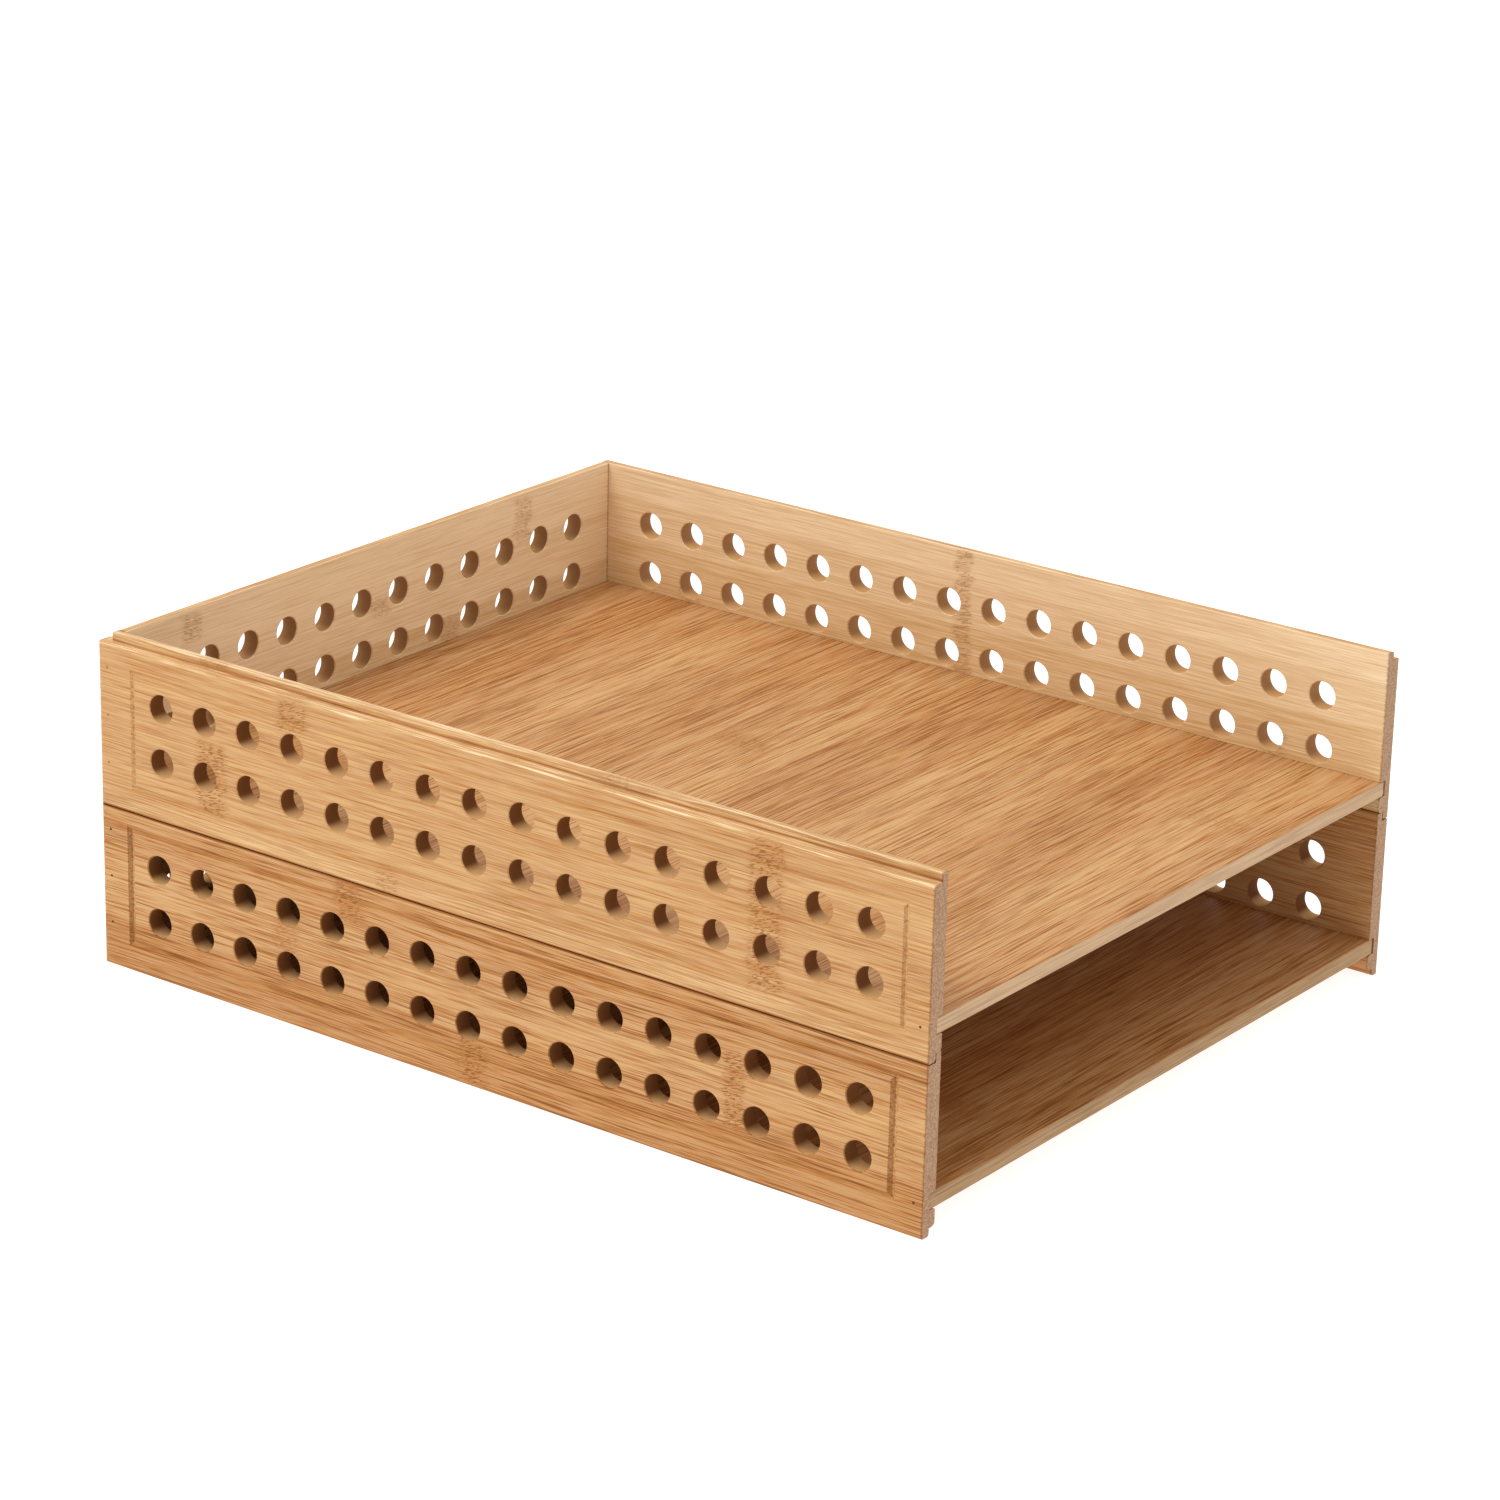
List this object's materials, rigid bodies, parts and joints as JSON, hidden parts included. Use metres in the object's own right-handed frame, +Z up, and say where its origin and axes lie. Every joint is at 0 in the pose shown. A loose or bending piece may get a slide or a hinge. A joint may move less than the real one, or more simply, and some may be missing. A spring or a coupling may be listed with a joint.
{
  "type": "stack of document trays",
  "caption": "Open-front bamboo letter trays with perforated, groove-framed walls, stacked by a tongue and rabbet so that the upper tray lifts off.",
  "frame": {"origin": "middle of the stack's footprint, on the surface that it stands on", "axes": "+Z up; the open front faces -Y; +X towards the right side board as seen from the front"},
  "size_m": [0.257, 0.3214, 0.1113],
  "materials": {
    "bamboo_wall": "satin, honey-coloured laminated bamboo",
    "bamboo_floor": "satin, honey-coloured bamboo board",
    "brad_steel": "dull, sunk just below the surface"
  },
  "bodies": {
    "lower_tray": {"lower_left_side": "bamboo_wall", "lower_right_side": "bamboo_wall", "lower_back_panel": "bamboo_wall", "lower_floor_panel": "bamboo_floor", "lower_left_corner_brads": "brad_steel", "lower_right_corner_brads": "brad_steel", "lower_left_floor_brad": "brad_steel", "lower_right_floor_brad": "brad_steel"},
    "upper_tray": {"upper_left_side": "bamboo_wall", "upper_right_side": "bamboo_wall", "upper_back_panel": "bamboo_wall", "upper_floor_panel": "bamboo_floor", "upper_left_corner_brads": "brad_steel", "upper_right_corner_brads": "brad_steel", "upper_left_floor_brad": "brad_steel", "upper_right_floor_brad": "brad_steel"}
  },
  "joints": [
    {"name": "upper_tray_lift", "type": "slide", "parent": "lower_tray", "child": "upper_tray", "axis": [0, 0, 1], "range_m": [0, 0.1]}
  ]
}
